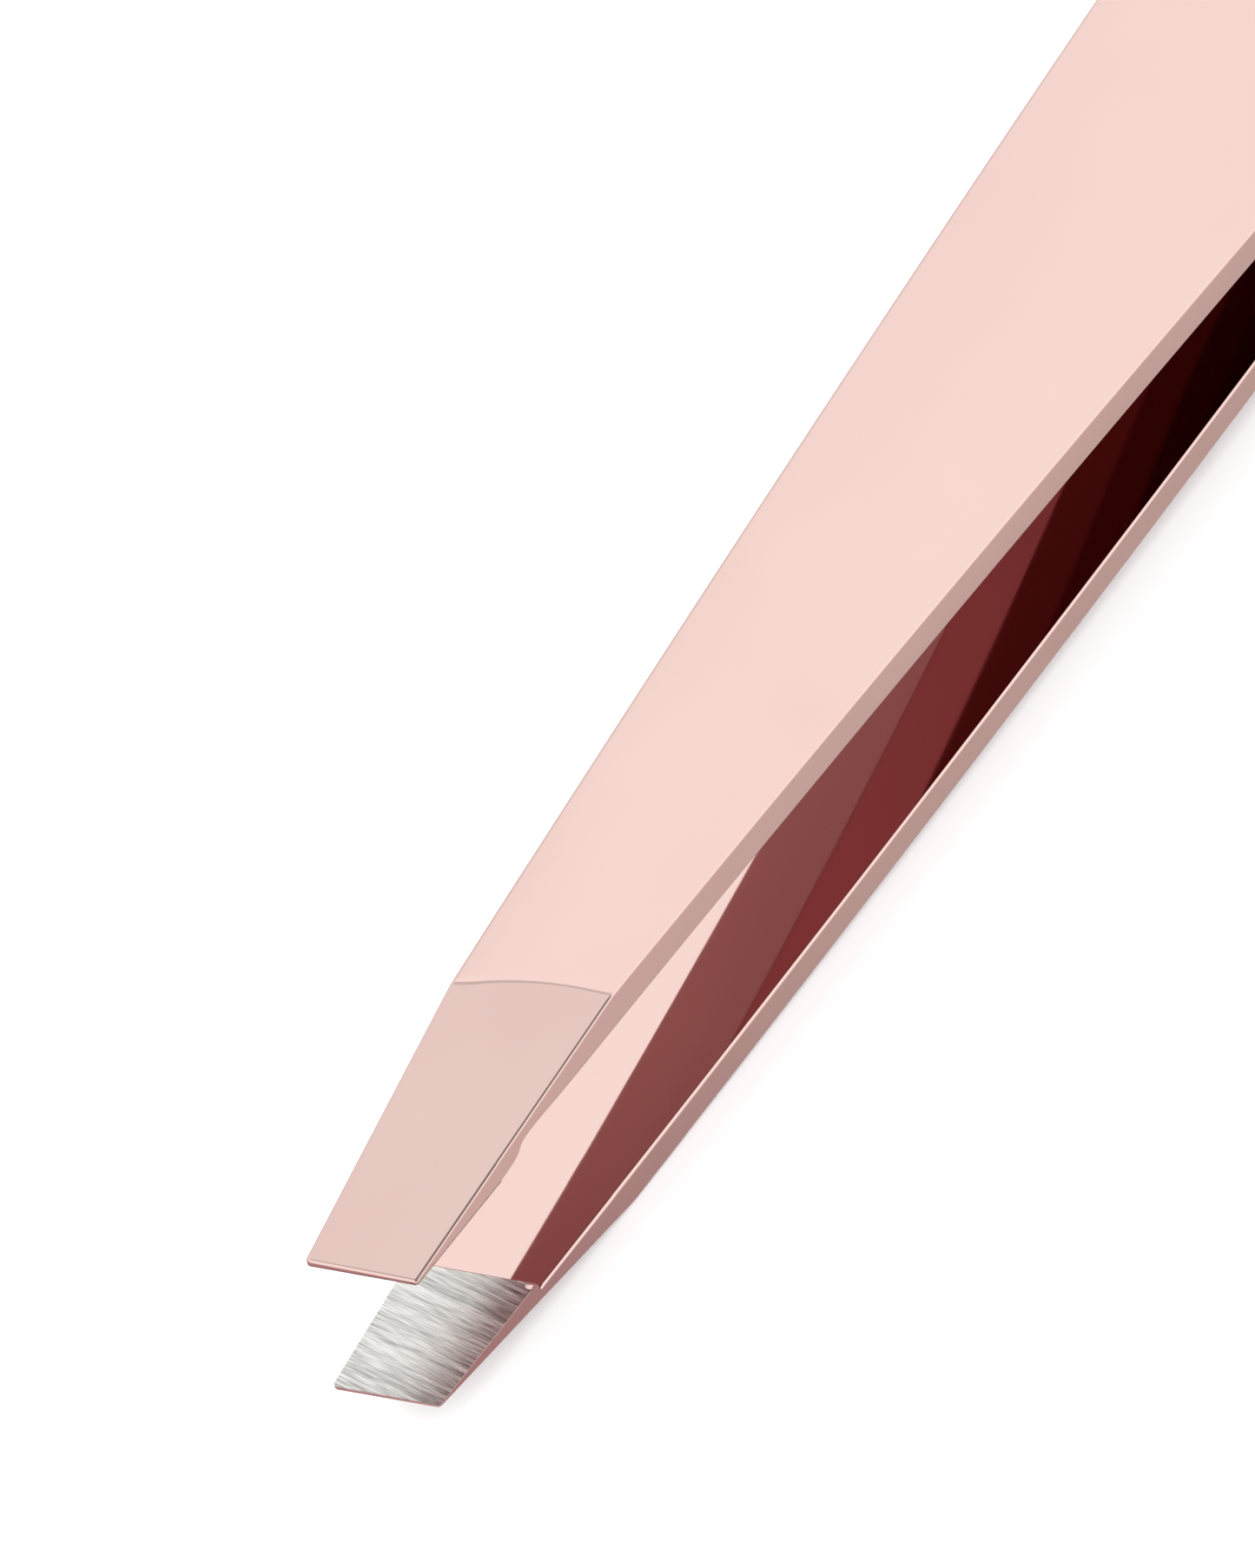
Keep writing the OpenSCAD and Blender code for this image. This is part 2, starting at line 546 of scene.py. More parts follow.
@dataclass(frozen=True)
class MetalFinish:
    """A bare or plated metal, whose colour, roughness and relief vary between two limits."""

    name: str

    def start(self) -> tuple[bpy.types.Material, NodeBuilder, bpy.types.Node]:
        """Makes an empty metallic material.

        Returns:
            The material, its node builder and its shader.
        """
        material = bpy.data.materials.new(self.name)
        material.use_nodes = True
        build = NodeBuilder(material.node_tree)
        shader = build.add("ShaderNodeBsdfPrincipled")
        shader.inputs["Metallic"].default_value = 1.0
        output = build.add("ShaderNodeOutputMaterial")
        build.link(shader.outputs["BSDF"], output.inputs["Surface"])
        return material, build, shader


@dataclass(frozen=True)
class PinkGoldPlating(MetalFinish):
    """Mirror-polished pink-gold plating, with the faint unevenness that hand polishing leaves."""

    warm: tuple[float, float, float] = (0.945, 0.700, 0.640)
    cool: tuple[float, float, float] = (0.922, 0.668, 0.622)
    roughness: tuple[float, float] = (0.015, 0.035)
    cloud_period: float = 5.0
    wipe_period: float = 1.1
    wave_period: float = 3.8
    wave_depth: float = 4.0e-7
    line_period: float = 0.11
    line_longer: float = 30.0
    line_depth: float = 0.0

    def material(self) -> bpy.types.Material:
        """Builds the plating's material.

        Returns:
            A metallic material with tint, roughness and relief from noise.
        """
        material, build, shader = self.start()
        cloud = build.remap(build.noise(self.cloud_period, 2.0, (1.6, 1.0, 1.0)), 0.0, 1.0)
        build.link(build.tint(cloud, self.cool, self.warm), shader.inputs["Base Color"])
        wipe = build.noise(self.wipe_period, 4.0, (3.0, 1.0, 1.0))
        build.link(build.remap(wipe, *self.roughness), shader.inputs["Roughness"])
        normal = build.bump(build.noise(self.wave_period, 1.0), self.wave_depth)
        if self.line_depth:
            lines = build.noise(self.line_period, 2.0, (self.line_longer, 1.0, 1.0))
            normal = build.bump(lines, self.line_depth, normal)
        build.link(normal, shader.inputs["Normal"])
        return material


@dataclass(frozen=True)
class GroundSteel(MetalFinish):
    """Bare stainless steel, ground across the strip so that fine parallel scratches show."""

    light: tuple[float, float, float] = (1.0, 0.985, 0.95)
    dark: tuple[float, float, float] = (0.43, 0.42, 0.395)
    roughness: tuple[float, float] = (0.16, 0.30)
    lean: float = math.radians(1.5)
    fine_period: float = 0.032
    broad_period: float = 0.12
    longer: float = 24.0
    fine_share: float = 0.6
    spread: tuple[float, float] = (0.37, 0.61)
    scratch_depth: float = 9.0e-6

    def material(self) -> bpy.types.Material:
        """Builds the ground steel's material.

        Returns:
            A metallic material whose tint, roughness and relief follow the scratches.
        """
        material, build, shader = self.start()
        longer = (1.0, self.longer, 1.0)
        fine = build.noise(self.fine_period, 3.0, longer, self.lean)
        broad = build.noise(self.broad_period, 2.0, longer, self.lean)
        scratch = build.blend_values(broad, fine, self.fine_share)
        share = build.remap(scratch, 0.0, 1.0, self.spread)
        build.link(build.tint(share, self.dark, self.light), shader.inputs["Base Color"])
        build.link(build.remap(scratch, *self.roughness), shader.inputs["Roughness"])
        build.link(build.bump(scratch, self.scratch_depth), shader.inputs["Normal"])
        return material


@dataclass(frozen=True)
class WeldMetal(MetalFinish):
    """Dull, heat-tinted steel of the spot welds inside the heel."""

    pale: tuple[float, float, float] = (0.56, 0.53, 0.50)
    scorched: tuple[float, float, float] = (0.30, 0.25, 0.24)
    roughness: tuple[float, float] = (0.35, 0.6)
    cloud_period: float = 0.6
    relief: float = 8.0e-6

    def material(self) -> bpy.types.Material:
        """Builds the weld's material.

        Returns:
            A rough metallic material with cloudy heat tint.
        """
        material, build, shader = self.start()
        cloud = build.noise(self.cloud_period, 4.0)
        share = build.remap(cloud, 0.0, 1.0)
        build.link(build.tint(share, self.pale, self.scorched), shader.inputs["Base Color"])
        build.link(build.remap(cloud, *self.roughness), shader.inputs["Roughness"])
        build.link(build.bump(cloud, self.relief), shader.inputs["Normal"])
        return material


# ------------------------------------------------------------------------------------------------
# The arms


@dataclass
class Arm:
    """One arm: the plated strip and the bare land inside its tip."""

    side: Side
    shape: StripShape
    plating: bpy.types.Material
    facet: bpy.types.Material
    steel: bpy.types.Material
    station_step: float = 1.15
    first_station: float = 11.0
    last_lane: float = 88.0
    first_lane: float = 7.7
    lanes: int = 9
    round_segments: int = 5
    corner_segments: int = 8
    heel_segments: int = 14
    blank_height: float = 2.0
    flat_within: float = 0.1
    merge_within: float = 0.002
    cut_tolerance: float = 1e-4
    heel_margin: float = 0.2
    end_margin: float = 0.01
    lip_slices: int = 3
    lip_lanes: int = 5
    lip_margin: float = 1.1
    least_lane: float = 1.0
    rim_share: float = 0.45
    land_rim_fade: float = 0.3
    facing_out: float = 0.7
    plate_thickness: float = 2 * BARE_PROUD
    plate_round: float = 0.6 * BARE_PROUD
    sharp_from: float = math.radians(40.0)
    crease_slices: tuple[float, float, float] = (7.95, 8.80, 0.035)

    def build(self) -> None:
        """Builds both pieces and dresses them; only the land is joined to its body."""
        self.strip()
        self.land()

    def outline(self) -> bmesh.types.BMesh:
        """The strip's outline as one face, with its end corners rounded.

        Returns:
            A new bmesh, flat at z = 0, in millimetres.
        """
        shape = self.shape
        widest = shape.straight_half(shape.widest_x)
        corners = [
            (0.0, shape.tip_half, shape.tip_radius, self.corner_segments),
            (shape.widest_x, widest, 0.0, 0),
            (shape.length, shape.heel_half, shape.heel_radius, self.heel_segments),
            (shape.length, -shape.heel_half, shape.heel_radius, self.heel_segments),
            (shape.widest_x, -widest, 0.0, 0),
            (*shape.short_corner, shape.tip_radius, self.corner_segments),
        ]
        bm = bmesh.new()
        places = [Vector((x, y, 0.0)) for x, y, _, _ in corners]
        verts = [bm.verts.new(place) for place in places]
        bm.faces.new(verts)
        for index, (_, _, radius, segments) in enumerate(corners):
            if not segments:
                continue
            inward = places[index] - places[index - 1]
            onward = places[(index + 1) % len(places)] - places[index]
            reach = radius * math.tan(inward.angle(onward) / 2)
            bmesh.ops.bevel(
                bm, geom=[verts[index]], offset=reach, offset_type="OFFSET", segments=segments,
                profile=0.5, affect="VERTICES", clamp_overlap=True, material=-1,
            )
        bmesh.ops.recalc_face_normals(bm, faces=bm.faces[:])
        return bm

    def slice_along(self, bm: bmesh.types.BMesh, point: Vector, normal: Vector) -> None:
        """Cuts every face that a plane crosses, and removes nothing."""
        geometry = bm.verts[:] + bm.edges[:] + bm.faces[:]
        bmesh.ops.bisect_plane(bm, geom=geometry, dist=self.cut_tolerance, plane_co=point, plane_no=normal)

    def stations(self, bm: bmesh.types.BMesh) -> list[float]:
        """Where the blank is sliced square across: evenly, at the waist and round the heel.

        Args:
            bm: The flat outline, whose rounded heel sets the last stations.

        Returns:
            The stations in order, in millimetres.
        """
        shape = self.shape
        heel_starts = shape.length - shape.heel_radius
        count = round((heel_starts - self.first_station) / self.station_step)
        step = (heel_starts - self.first_station) / count
        even = [self.first_station + step * index for index in range(count)]
        even = [x for x in even if abs(x - shape.widest_x) > step / 2]
        heel = {round(vert.co.x, 3) for vert in bm.verts if vert.co.x > heel_starts - self.heel_margin}
        return sorted(even + [shape.widest_x] + [x for x in heel if x < shape.length - self.end_margin])

    def blank(self) -> bmesh.types.BMesh:
        """A flat prism of the outline with rounded rims, sliced where it will curve.

        Returns:
            A closed bmesh, in millimetres.
        """
        shape = self.shape
        step = LAND_STEPS[self.side]
        bm = self.outline()
        stations = self.stations(bm)
        grown = bmesh.ops.extrude_face_region(bm, geom=bm.faces[:])
        top = [item for item in grown["geom"] if isinstance(item, bmesh.types.BMVert)]
        bmesh.ops.translate(bm, verts=top, vec=(0.0, 0.0, self.blank_height))
        bmesh.ops.recalc_face_normals(bm, faces=bm.faces[:])
        rims = [edge for edge in bm.edges
                if abs(edge.verts[0].co.z - edge.verts[1].co.z) < self.flat_within]
        bmesh.ops.bevel(
            bm, geom=rims, offset=shape.edge_round, offset_type="OFFSET",
            segments=self.round_segments, profile=0.5, affect="EDGES", clamp_overlap=True, material=-1,
        )
        bmesh.ops.remove_doubles(bm, verts=bm.verts[:], dist=self.merge_within)
        for x in stations:
            self.slice_along(bm, Vector((x, 0.0, 0.0)), Vector((1.0, 0.0, 0.0)))
        marks = [behind for behind, _ in step.profile]
        marks += [(marks[index] + marks[index + 1]) / 2 for index in range(len(marks) - 1)]
        if step.lip_height:
            gap = step.lip_reach / self.lip_slices
            marks += [step.lip_at + gap * index for index in range(-self.lip_slices, self.lip_slices)]
        first, last, gap = self.crease_slices
        marks.append(self.first_lane)
        marks += [first + gap * index for index in range(round((last - first) / gap) + 1)]
        for mark in sorted(marks):
            self.slice_along(bm, shape.long_corner + shape.behind * mark, shape.behind)
        if step.lip_height:
            self.slice_lip(bm, step)
        self.cut_lanes(bm)
        return bm

    def slice_lip(self, bm: bmesh.types.BMesh, step: LandStep) -> None:
        """Cuts narrow lanes along the near side, where the curl stands up.

        Args:
            bm: The sliced blank.
            step: The step that has the curl.
        """
        shape = self.shape
        inward = Vector((shape.front_taper, 1.0, 0.0)).normalized()
        corner = Vector((*shape.short_corner, 0.0))
        for lane in range(1, self.lip_lanes + 1):
            near = []
            for face in bm.faces:
                middle = face.calc_center_median()
                behind = shape.behind_edge(middle.x, middle.y)
                beside_curl = abs(behind - step.lip_at) < step.lip_reach * self.lip_margin
                if middle.z < self.end_margin and beside_curl:
                    near.append(face)
            edges = {edge for face in near for edge in face.edges}
            verts = {vert for face in near for vert in face.verts}
            bmesh.ops.bisect_plane(
                bm, geom=[*verts, *edges, *near], dist=self.cut_tolerance,
                plane_co=corner + inward * (step.lip_width * lane / self.lip_lanes), plane_no=inward,
            )

    def cut_lanes(self, bm: bmesh.types.BMesh) -> None:
        """Splits the top between stations into lanes that follow the outline.

        Args:
            bm: The sliced blank.
        """
        shape = self.shape
        across = []
        for edge in bm.edges:
            first, second = (vert.co for vert in edge.verts)
            below = min(first.z, second.z) < self.blank_height - self.merge_within / 2
            if below or abs(first.y - second.y) < self.least_lane:
                continue
            square = abs(first.x - second.x) < self.merge_within / 2 and first.x < self.last_lane
            slants = [shape.behind_edge(point.x, point.y) for point in (first, second)]
            level = abs(slants[0] - slants[1]) < self.merge_within / 2
            slanted = level and slants[0] > self.first_lane - self.flat_within
            if square or slanted:
                across.append(edge)
        bmesh.ops.subdivide_edges(bm, edges=across, cuts=self.lanes, use_grid_fill=True)

    def inner(self, x: float, y: float) -> float:
        """Height of the inner face: the land, its step, the hollow neck, then the long inner side.

        Args:
            x: Station, in millimetres.
            y: Place across the strip, in millimetres.

        Returns:
            The height, in millimetres.
        """
        shape = self.shape
        step = LAND_STEPS[self.side]
        behind = shape.behind_edge(x, y)
        land = shape.pad_height + BARE_PROUD
        depth = step.depth(behind) - step.lip(behind, y + shape.half_width(x))
        drop = shape.outer(x) - shape.strip_thickness(x) - shape.neck_height
        return max(0.0, land + depth + smooth_min(0.0, drop, 0.02))

    def shape_profile(self, bm: bmesh.types.BMesh) -> None:
        """Rounds the waist and lifts the flat blank to its side profile, rims and all.

        Args:
            bm: The sliced blank.
        """
        shape = self.shape
        for vert in bm.verts:
            x = vert.co.x
            if x > self.first_station:
                vert.co.y *= shape.half_width(x) / shape.straight_half(x)
            y = vert.co.y
            high, low = shape.top(x, y), self.inner(x, y)
            if vert.co.z > self.blank_height / 2:
                flatter = min(1.0, self.rim_share * (high - low) / shape.edge_round)
                vert.co.z = high - (self.blank_height - vert.co.z) * flatter
            else:
                behind = shape.behind_edge(x, y)
                finer = 1 - smooth_step(behind, shape.land_length, shape.land_length + self.land_rim_fade)
                least = shape.land_edge_round / shape.edge_round
                vert.co.z = low + vert.co.z * (1 + (least - 1) * finer)

    def mark_facet(self, bm: bmesh.types.BMesh) -> None:
        """Gives the ground facet its own finish.

        Args:
            bm: The shaped strip.
        """
        bm.normal_update()
        for face in bm.faces:
            middle = face.calc_center_median()
            ahead = self.shape.facet(middle.x, middle.y) < self.shape.crowned(middle.x, middle.y)
            if ahead and face.normal.z > self.facing_out:
                face.material_index = Zone.FACET.value

    def corner_normals(self, bm: bmesh.types.BMesh) -> list[Vector]:
        """Shading normals that lean on the larger faces, so that flat faces stay flat up to their rims.

        Args:
            bm: The finished mesh.

        Returns:
            One normal for each corner of each face, in order.
        """
        bm.normal_update()
        pulls = {face: face.normal * (face.calc_area() / (MM * MM)) for face in bm.faces}
        normals = []
        for face in bm.faces:
            for vert in face.verts:
                soft = [other for other in vert.link_faces
                        if face.normal.angle(other.normal, 0.0) < self.sharp_from]
                normals.append(sum((pulls[other] for other in soft), Vector()).normalized())
        return normals

    def finish_mesh(self, bm: bmesh.types.BMesh, name: str) -> bpy.types.Object:
        """Turns a bmesh in millimetres into a placed object, on this arm's side of the mid-plane.

        Args:
            bm: The closed mesh of the upper arm's piece; it is freed.
            name: The object's name.

        Returns:
            The new object, at the origin, with its place in its mesh.
        """
        place = Matrix.Diagonal((MM, MM, MM * self.side.value, 1.0))
        place @= Matrix.Translation((-self.shape.middle_x, 0.0, 0.0))
        bmesh.ops.transform(bm, matrix=place, verts=bm.verts[:])
        bmesh.ops.recalc_face_normals(bm, faces=bm.faces[:])
        for face in bm.faces:
            face.smooth = True
        for edge in bm.edges:
            if len(edge.link_faces) == 2:
                edge.smooth = edge.calc_face_angle() < self.sharp_from
        normals = self.corner_normals(bm)
        mesh = bpy.data.meshes.new(name)
        bm.to_mesh(mesh)
        bm.free()
        mesh.normals_split_custom_set(normals)
        piece = bpy.data.objects.new(name, mesh)
        bpy.context.scene.collection.objects.link(piece)
        return piece

    def strip(self) -> bpy.types.Object:
        """The plated strip, from heel to tip, whose shape runs from the heel out into the free arm.

        Returns:
            The strip's object.
        """
        word = self.side.word
        bm = self.blank()
        self.shape_profile(bm)
        self.mark_facet(bm)
        piece = self.finish_mesh(bm, f"{word}_strip")
        piece.data.materials.append(self.plating)
        piece.data.materials.append(self.facet)
        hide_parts(f"{word}_heel", f"{word}_arm")
        shape = self.shape
        height = self.side.value * shape.outer(shape.pivot_x) * MM
        reach = shape.root_x - shape.pivot_x
        start = ((shape.root_x - shape.middle_x) * MM, 0.0, height)
        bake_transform(piece)
        LOG.info("%s: %d faces", piece.name, len(piece.data.polygons))
        return piece

    def land(self) -> bpy.types.Object:
        """The bare ground face of the gripping land, a thin plate let into the tip.

        Returns:
            The land's object.
        """
        shape = self.shape
        word = self.side.word
        bm = self.outline()
        far = shape.long_corner + shape.behind * LAND_STEPS[self.side].bare_to
        bmesh.ops.bisect_plane(
            bm, geom=bm.verts[:] + bm.edges[:] + bm.faces[:], dist=1e-5,
            plane_co=far, plane_no=shape.behind, clear_outer=True,
        )
        rim = bmesh.ops.inset_region(bm, faces=bm.faces[:], thickness=BARE_INSET, use_even_offset=True)
        bmesh.ops.delete(bm, geom=rim["faces"], context="FACES")
        grown = bmesh.ops.extrude_face_region(bm, geom=bm.faces[:])
        top = [item for item in grown["geom"] if isinstance(item, bmesh.types.BMVert)]
        bmesh.ops.translate(bm, verts=top, vec=(0.0, 0.0, self.plate_thickness))
        bmesh.ops.translate(bm, verts=bm.verts[:], vec=(0.0, 0.0, shape.pad_height))
        bmesh.ops.recalc_face_normals(bm, faces=bm.faces[:])
        lip = [edge for edge in bm.edges
               if all(abs(vert.co.z - shape.pad_height) < 1e-5 for vert in edge.verts)]
        bmesh.ops.bevel(
            bm, geom=lip, offset=self.plate_round, offset_type="OFFSET", segments=2,
            profile=0.5, affect="EDGES", clamp_overlap=True, material=-1,
        )
        piece = self.finish_mesh(bm, f"{word}_ground_land")
        piece.data.materials.append(self.steel)
        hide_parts(f"{word}_tip_pad")
        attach(piece, f"{word}_arm")
        LOG.info("%s: %d faces", piece.name, len(piece.data.polygons))
        return piece


@dataclass
class Weld:
    """The spot welds, which stay the CAD model's own node."""

    metal: bpy.types.Material
    node: str = "weld_nuggets"

    def dress(self) -> None:
        """Gives the nuggets their heat-tinted metal."""
        nuggets = frame["nodes"][self.node]
        nuggets.data.materials.clear()
        nuggets.data.materials.append(self.metal)
        LOG.info("%s: dressed", nuggets.name)


# ------------------------------------------------------------------------------------------------
# The studio


@dataclass(frozen=True)
class DomeZone:
    """A round zone of the dome: which way it lies, how wide it is in degrees, and how bright."""

    toward: tuple[float, float, float]
    full_to: float
    fades_to: float
    brightness: float


DOME_ZONES = (
    DomeZone(toward=(0.20, 0.98, 0.0), full_to=41.0, fades_to=66.5, brightness=0.80),
    DomeZone(toward=(0.42, -0.85, 0.30), full_to=27.0, fades_to=42.0, brightness=1.05),
    DomeZone(toward=(0.0, 0.0, 1.0), full_to=20.0, fades_to=24.5, brightness=0.62),
    DomeZone(toward=(0.0, 0.0, 1.0), full_to=13.0, fades_to=16.0, brightness=0.84),
    DomeZone(toward=(-0.272, -0.472, 0.839), full_to=24.0, fades_to=36.0, brightness=0.24),
)


@dataclass
class Studio:
    """A pale floor that the tweezers lie on, a bright dome, a soft key light and the camera."""

    shape: StripShape
    eye: tuple[float, float, float] = (-45.785, -43.651, 114.791)
    turned: tuple[float, float, float] = (34.951, 3.102, -58.623)
    lens: float = 109.64
    sensor: float = 36.0
    clip: tuple[float, float] = (0.005, 20.0)
    floor_gap: float = 0.02
    floor_reach: float = 1.5
    # painted shade and painted glow: the floor as the metal mirrors it is dimmer, pink-tinted and partly
    # self-lit
    painted_mirrored_floor: tuple[float, float, float] = (1.0, 0.838, 0.815)
    painted_floor_glow: float = 0.386
    mirrored_shade: float = 0.171
    # painted shadow: a darker, pinkish spot on the mirrored floor under the tips
    painted_tip_shadow: tuple[float, float, float] = (0.68, 0.50, 0.54)
    shaded_along: tuple[float, float] = (1.0, 23.0)
    shaded_across: tuple[float, float] = (-3.4, -4.8)
    sky: float = 1.85
    key_energy: float = 0.9
    key_toward: tuple[float, float, float] = (0.30, 0.55, 0.80)
    key_softness: float = math.radians(50)
    mirror_bounces: int = 8
    matt_white: tuple[float, float, float] = (0.92, 0.92, 0.92)

    def build(self) -> None:
        """Builds the whole studio."""
        self.camera()
        self.floor()
        self.dome()
        self.key()
        scene = bpy.context.scene
        scene.view_settings.view_transform = "Standard"
        scene.view_settings.look = "None"
        scene.cycles.glossy_bounces = self.mirror_bounces

    def camera(self) -> None:
        """Places the camera close over the tips, looking back along the tool."""
        data = bpy.data.cameras.new("camera")
        data.lens = self.lens
        data.sensor_width = self.sensor
        data.clip_start, data.clip_end = self.clip
        camera = bpy.data.objects.new("camera", data)
        camera.location = (Vector(self.eye) - Vector((self.shape.middle_x, 0.0, 0.0))) * MM
        camera.rotation_euler = Euler([math.radians(angle) for angle in self.turned], "XYZ")
        bpy.context.scene.collection.objects.link(camera)
        bpy.context.scene.camera = camera
        LOG.info("camera: %.1f mm lens", self.lens)

    def floor(self) -> None:
        """A wide pale floor, level, just under the lowest point of the lower arm's bow."""
        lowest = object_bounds()[0][2]
        bm = bmesh.new()
        bmesh.ops.create_grid(bm, x_segments=1, y_segments=1, size=self.floor_reach)
        bmesh.ops.translate(bm, verts=bm.verts[:], vec=(0.0, 0.0, lowest - self.floor_gap * MM))
        mesh = bpy.data.meshes.new("floor")
        bm.to_mesh(mesh)
        bm.free()
        floor = bpy.data.objects.new("floor", mesh)
        floor.data.materials.append(self.floor_material())
        bpy.context.scene.collection.objects.link(floor)
        floor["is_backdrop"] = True
        LOG.info("floor: %.2f mm below the mid-plane", -lowest / MM)

    def floor_material(self) -> bpy.types.Material:
        """Matt white, which polished metal mirrors as a dimmer, pinkish grey that partly glows: painted
        shade and a painted glow, with a painted shadow under the tips.

        Returns:
            The floor's material.
        """
        material = bpy.data.materials.new("floor")
        material.use_nodes = True
        build = NodeBuilder(material.node_tree)
        path = build.add("ShaderNodeLightPath")
        direct = build.add("ShaderNodeBsdfDiffuse")
        direct.inputs["Color"].default_value = (*self.matt_white, 1.0)
        # painted shadow under the tips, multiplied into the mirrored floor's colour
        shade = build.add("ShaderNodeMix", data_type="RGBA", blend_type="MULTIPLY")
        shade.inputs["B"].default_value = (*self.painted_tip_shadow, 1.0)
        build.link(self.painted_tip_shadow_share(build), shade.inputs["Factor"])
        # painted shade: the mirrored floor's colour darkens at each further bounce
        build.link(self.painted_bounce_shade(build, path, 1.0, self.painted_mirrored_floor), shade.inputs["A"])
        tint = shade.outputs["Result"]
        # painted glow: the mirrored floor lights itself, though it is no lamp
        even = build.add("ShaderNodeEmission")
        even.inputs["Strength"].default_value = self.painted_floor_glow
        build.link(tint, even.inputs["Color"])
        shaded = build.add("ShaderNodeBsdfDiffuse")
        build.link(tint, shaded.inputs["Color"])
        mirrored = build.add("ShaderNodeMixShader")
        mirrored.inputs["Fac"].default_value = self.mirrored_shade
        build.link(even.outputs["Emission"], mirrored.inputs[1])
        build.link(shaded.outputs["BSDF"], mirrored.inputs[2])
        mix = build.add("ShaderNodeMixShader")
        output = build.add("ShaderNodeOutputMaterial")
        build.link(path.outputs["Is Glossy Ray"], mix.inputs["Fac"])
        build.link(direct.outputs["BSDF"], mix.inputs[1])
        build.link(mirrored.outputs["Shader"], mix.inputs[2])
        build.link(mix.outputs["Shader"], output.inputs["Surface"])
        return material

    def painted_tip_shadow_share(self, build: NodeBuilder) -> bpy.types.NodeSocket:
        """How much of the painted shadow under the raised tips a spot of the floor has, from 0 to 1.

        Args:
            build: The tree to build in.

        Returns:
            The share's socket.
        """
        place = build.add("ShaderNodeTexCoord")
        axes = build.add("ShaderNodeSeparateXYZ")
        build.link(place.outputs["Object"], axes.inputs["Vector"])
        along = [station - self.shape.middle_x for station in self.shaded_along]
        both = build.add("ShaderNodeMath", operation="MULTIPLY")
        for index, (axis, (full, none)) in enumerate((("X", along), ("Y", self.shaded_across))):
            share = build.add("ShaderNodeMapRange")
            share.inputs["From Min"].default_value = none * MM
            share.inputs["From Max"].default_value = full * MM
            build.link(axes.outputs[axis], share.inputs["Value"])
            build.link(share.outputs["Result"], both.inputs[index])
        return both.outputs["Value"]

    def painted_bounce_shade(self, build: NodeBuilder, path: bpy.types.Node, first_depth: float,
               colour: tuple[float, float, float]) -> bpy.types.NodeSocket:
        """Painted shade: a colour made darker at each further bounce between the two arms.

        Args:
            build: The tree to build in.
            path: Its Light Path node.
            first_depth: Ray depth that stands for a single reflection here.
            colour: The colour after one reflection.

        Returns:
            The colour's socket.
        """
        channels = build.add("ShaderNodeCombineColor")
        again = build.add("ShaderNodeMath", operation="SUBTRACT")
        again.inputs[1].default_value = first_depth
        build.link(path.outputs["Ray Depth"], again.inputs[0])
        extra = build.add("ShaderNodeMath", operation="MAXIMUM")
        extra.inputs[1].default_value = 0.0
        build.link(again.outputs["Value"], extra.inputs[0])
        # painted shade: each further bounce keeps only this share of each channel
        for name, first, keep in zip(("Red", "Green", "Blue"), colour, PAINTED_SHADE_PER_BOUNCE):
            power = build.add("ShaderNodeMath", operation="POWER")
            power.inputs[0].default_value = keep
            build.link(extra.outputs["Value"], power.inputs[1])
            scale = build.add("ShaderNodeMath", operation="MULTIPLY")
            scale.inputs[1].default_value = first
            build.link(power.outputs["Value"], scale.inputs[0])
            build.link(scale.outputs["Value"], channels.inputs[name])
        return channels.outputs["Color"]

    def dome(self) -> None:
        """A bright dome, a little dimmer straight above, that fades as reflections repeat."""
        world = bpy.data.worlds.new("dome")
        bpy.context.scene.world = world
        world.use_nodes = True
        build = NodeBuilder(world.node_tree)
        path = build.add("ShaderNodeLightPath")
        mirrored = build.add("ShaderNodeBackground")
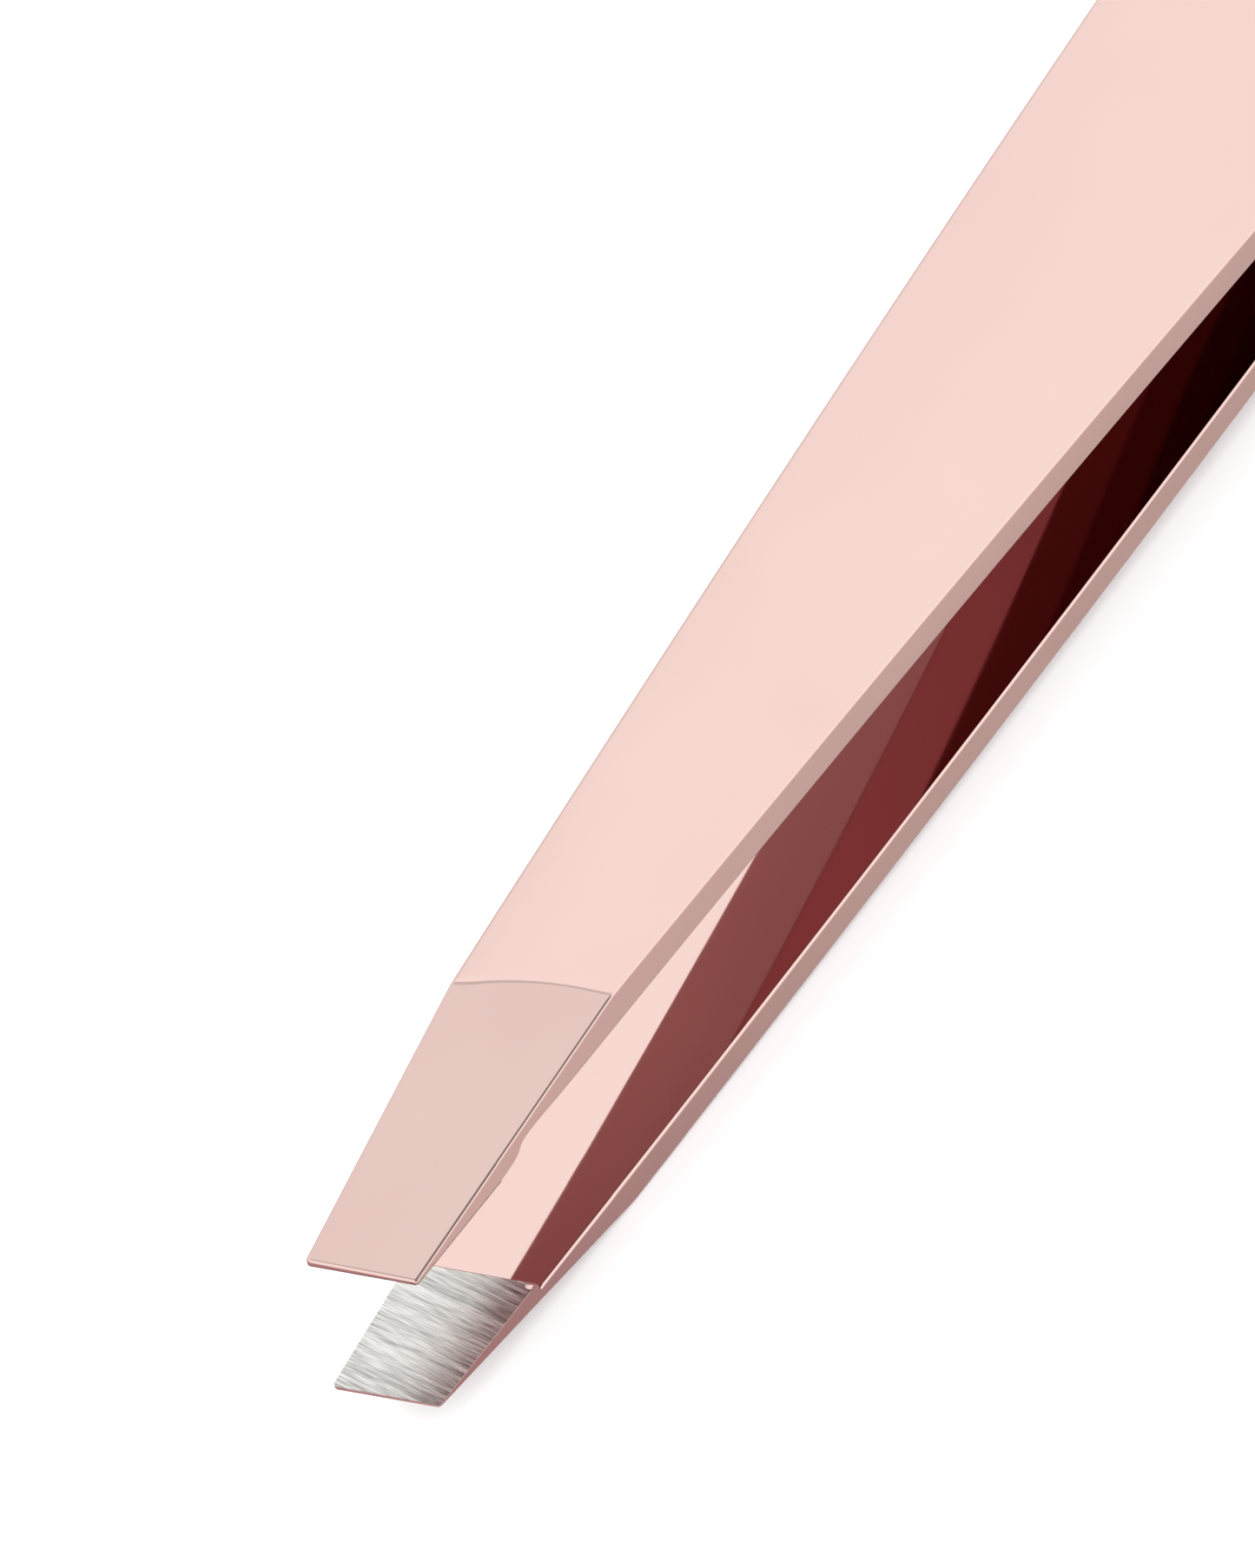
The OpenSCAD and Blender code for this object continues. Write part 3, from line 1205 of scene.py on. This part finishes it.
        # painted shade: the mirrored dome darkens at each further bounce between the arms
        build.link(self.painted_bounce_shade(build, path, 2.0, (1.0, 1.0, 1.0)), mirrored.inputs["Color"])
        build.link(self.glow(build), mirrored.inputs["Strength"])
        plain = build.add("ShaderNodeBackground")
        plain.inputs["Color"].default_value = (1.0, 1.0, 1.0, 1.0)
        plain.inputs["Strength"].default_value = self.sky
        mix = build.add("ShaderNodeMixShader")
        output = build.add("ShaderNodeOutputWorld")
        build.link(path.outputs["Is Glossy Ray"], mix.inputs["Fac"])
        build.link(plain.outputs["Background"], mix.inputs[1])
        build.link(mirrored.outputs["Background"], mix.inputs[2])
        build.link(mix.outputs["Shader"], output.inputs["Surface"])
        LOG.info("dome: strength %.2f", self.sky)

    def glow(self, build: NodeBuilder) -> bpy.types.NodeSocket:
        """Brightness of the dome by direction, as the polished metal mirrors it.

        Args:
            build: The tree to build in.

        Returns:
            The brightness's socket.
        """
        place = build.add("ShaderNodeTexCoord")
        bright = None
        for zone in DOME_ZONES:
            along = build.add("ShaderNodeVectorMath", operation="DOT_PRODUCT")
            along.inputs[1].default_value = Vector(zone.toward).normalized()
            build.link(place.outputs["Generated"], along.inputs[0])
            share = build.add("ShaderNodeMapRange", interpolation_type="SMOOTHSTEP")
            share.inputs["From Min"].default_value = math.cos(math.radians(zone.fades_to))
            share.inputs["From Max"].default_value = math.cos(math.radians(zone.full_to))
            build.link(along.outputs["Value"], share.inputs["Value"])
            mix = build.add("ShaderNodeMix", data_type="FLOAT")
            mix.inputs["A"].default_value = 1.0
            mix.inputs["B"].default_value = zone.brightness
            build.link(share.outputs["Result"], mix.inputs["Factor"])
            if bright is not None:
                build.link(bright, mix.inputs["A"])
            bright = mix.outputs["Result"]
        return bright

    def key(self) -> None:
        """A soft key light from behind and to the left, unseen in the metal."""
        data = bpy.data.lights.new("key", "SUN")
        data.energy = self.key_energy
        data.angle = self.key_softness
        light = bpy.data.objects.new("key", data)
        light.rotation_euler = Vector(self.key_toward).to_track_quat("Z", "Y").to_euler()
        light.visible_glossy = False
        bpy.context.scene.collection.objects.link(light)
        LOG.info("key light: %.2f", self.key_energy)


def main() -> None:
    """Builds the tweezers and the studio."""
    logging.basicConfig(level=logging.INFO, format="%(name)s: %(message)s")
    shape = StripShape.from_frame()
    Studio(shape).build()
    plating = PinkGoldPlating("pink_gold_plating").material()
    facet = PinkGoldPlating("pink_gold_facet", roughness=(0.05, 0.10), line_depth=3.0e-7).material()
    steel = GroundSteel("ground_steel").material()
    for side in Side:
        Arm(side, shape, plating, facet, steel).build()
    Weld(WeldMetal("weld_metal").material()).dress()


if __name__ == "__main__":
    main()
